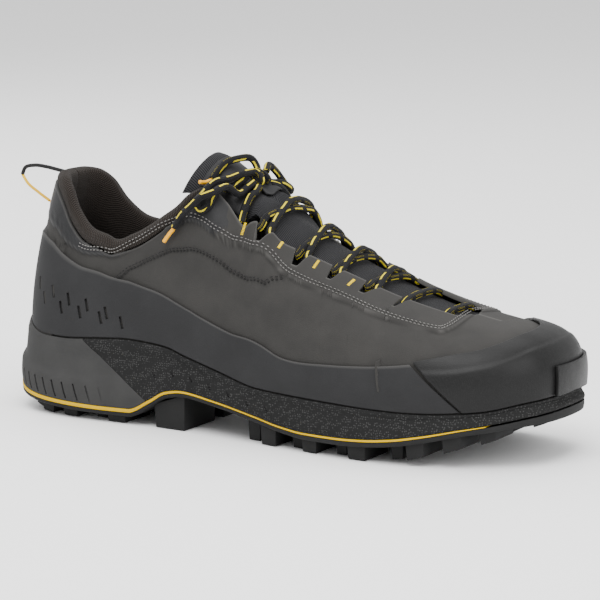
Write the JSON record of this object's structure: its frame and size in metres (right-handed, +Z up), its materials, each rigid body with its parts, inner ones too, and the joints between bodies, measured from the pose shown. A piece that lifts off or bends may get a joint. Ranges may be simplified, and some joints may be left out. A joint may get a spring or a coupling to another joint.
{
  "type": "approach shoe",
  "caption": "Low approach shoe for the right foot: hollow upper with a padded collar, tongue, lacing, rubber toe cap and a cupped, lugged sole.",
  "frame": {"origin": "middle of the shoe's length and width at ground level, under the lugs", "axes": "+X from heel to toe, -Y the outer (lateral) side, +Z up"},
  "size_m": [0.3041, 0.1028, 0.1306],
  "materials": {
    "nubuck": "matt nubuck with soft nap",
    "knit": "ribbed knit",
    "tongue_textile": "ribbed textile",
    "insole_cloth": "matt cloth",
    "midsole_foam": "matt moulded foam with dots",
    "wedge_foam": "matt moulded foam",
    "accent_foam": "matt yellow",
    "outsole_rubber": "matt black rubber",
    "band_microfibre": "matt coated cloth",
    "cap_rubber": "satin textured rubber",
    "cord_black": "braided",
    "cord_yellow": "braided"
  },
  "bodies": {
    "root": {"upper": "nubuck", "collar": "knit", "tongue": "tongue_textile", "insole": "insole_cloth", "midsole": "midsole_foam", "heel_wedge": "wedge_foam", "accent_layer": "accent_foam", "outsole": "outsole_rubber", "side_band": "band_microfibre", "toe_cap": "cap_rubber", "toe_bumper": "cap_rubber", "pull_sleeve": "cord_black", "pull_cord": "cord_yellow", "pull_knot": "cord_yellow"}
  },
  "joints": []
}
